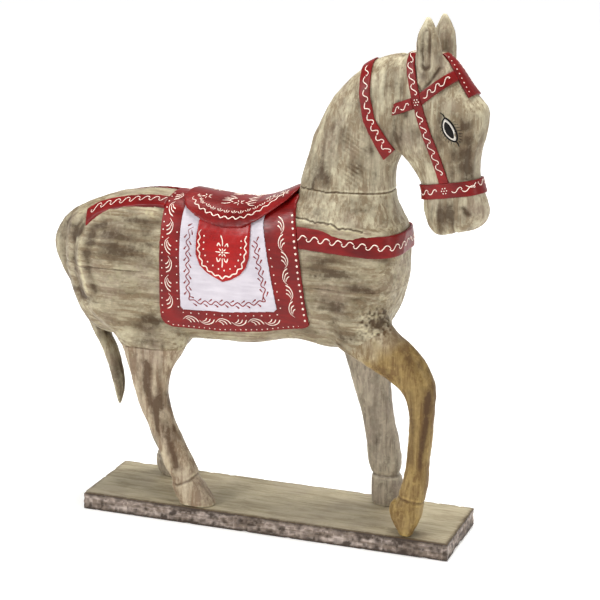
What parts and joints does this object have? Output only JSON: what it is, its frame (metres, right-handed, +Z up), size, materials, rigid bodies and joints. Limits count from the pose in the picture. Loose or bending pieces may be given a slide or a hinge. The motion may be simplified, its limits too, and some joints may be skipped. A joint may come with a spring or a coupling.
{
  "type": "carved wooden horse figure",
  "caption": "Carved and painted wooden horse standing on a plank with one foreleg raised, in relief saddle, bridle and straps.",
  "frame": {"origin": "centre of the plank's underside", "axes": "+X towards the horse's head, +Y its left side, +Z up"},
  "size_m": [0.5312, 0.1179, 0.599],
  "materials": {
    "whitewashed_wood": "thin white wash over bare mango wood, waxed",
    "honey_wood": "mango wood with little wash left, honey wax",
    "grey_wood": "grey wash over mango wood",
    "plank_wood": "greenish beige wash, rough sawn edges",
    "red_painted_wood": "carved relief in dark red enamel with white raised cone-paint scrolls",
    "white_painted_wood": "carved relief in off-white enamel with dark red vine",
    "dowel_wood": "plain turned dowel",
    "screw_steel": "zinc plated"
  },
  "bodies": {
    "root": {"lower_body_board": "whitewashed_wood", "upper_body_board": "whitewashed_wood", "neck_base_block": "whitewashed_wood", "neck_and_head_block": "whitewashed_wood", "right_ear": "whitewashed_wood", "left_ear": "whitewashed_wood", "right_hind_leg": "whitewashed_wood", "tail": "whitewashed_wood", "right_fore_leg": "honey_wood", "left_fore_leg": "grey_wood", "left_hind_leg": "grey_wood", "base_plank": "plank_wood", "saddle_cloth": "red_painted_wood", "right_saddle_tongue": "red_painted_wood", "left_saddle_tongue": "red_painted_wood", "saddle_seat": "red_painted_wood", "breast_strap": "red_painted_wood", "right_crupper_strap": "red_painted_wood", "left_crupper_strap": "red_painted_wood", "neck_strap": "red_painted_wood", "cheek_strap": "red_painted_wood", "noseband": "red_painted_wood", "browband": "red_painted_wood", "brow_plate": "red_painted_wood", "saddle_panel": "white_painted_wood", "torso_board_dowels": "dowel_wood", "neck_base_dowels": "dowel_wood", "neck_joint_dowels": "dowel_wood", "right_hind_dowel": "dowel_wood", "left_hind_dowel": "dowel_wood", "right_fore_dowel": "dowel_wood", "left_fore_dowel": "dowel_wood", "tail_dowel": "dowel_wood", "base_screws": "screw_steel"}
  },
  "joints": []
}
